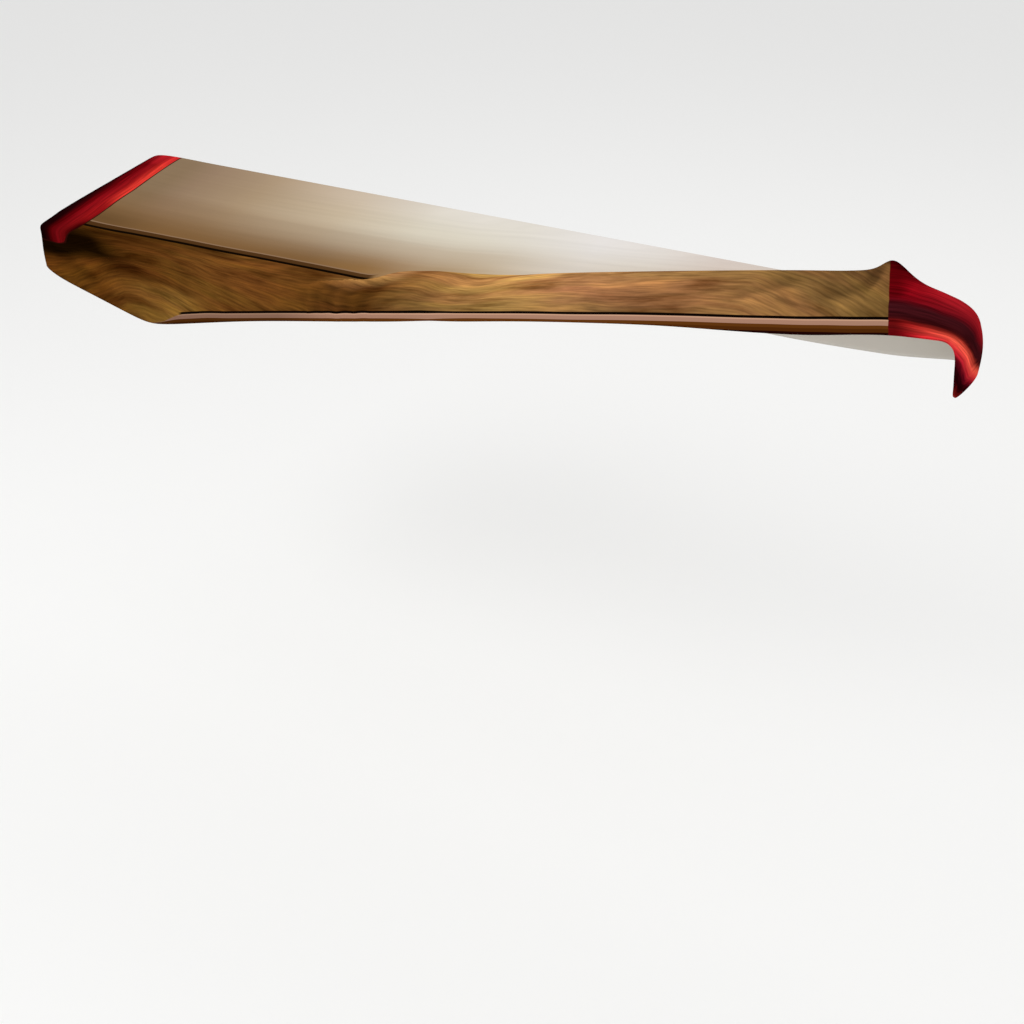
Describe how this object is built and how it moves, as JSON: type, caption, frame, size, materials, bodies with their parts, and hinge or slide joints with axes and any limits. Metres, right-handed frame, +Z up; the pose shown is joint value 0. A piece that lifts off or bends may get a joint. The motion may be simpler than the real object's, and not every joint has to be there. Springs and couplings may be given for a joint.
{
  "type": "piano keyboard cover",
  "caption": "Hollow stretch-cloth dust cover shaped over a long flat keyboard, pulled down at the left and pushed back into a standing fold at the right.",
  "frame": {"origin": "on the underside of the top, at mid-length of the keyboard that it covers, 165 mm behind the keyboard's front edge, where the cloth lies on the keyboard", "axes": "+X along the length to the right as the player sees it, +Y to the back, +Z up"},
  "size_m": [1.3507, 0.274, 0.2051],
  "materials": {
    "printed_knit": "matte printed stretch knit with a slight sheen"
  },
  "bodies": {
    "root": {"cover": "printed_knit"}
  },
  "joints": []
}
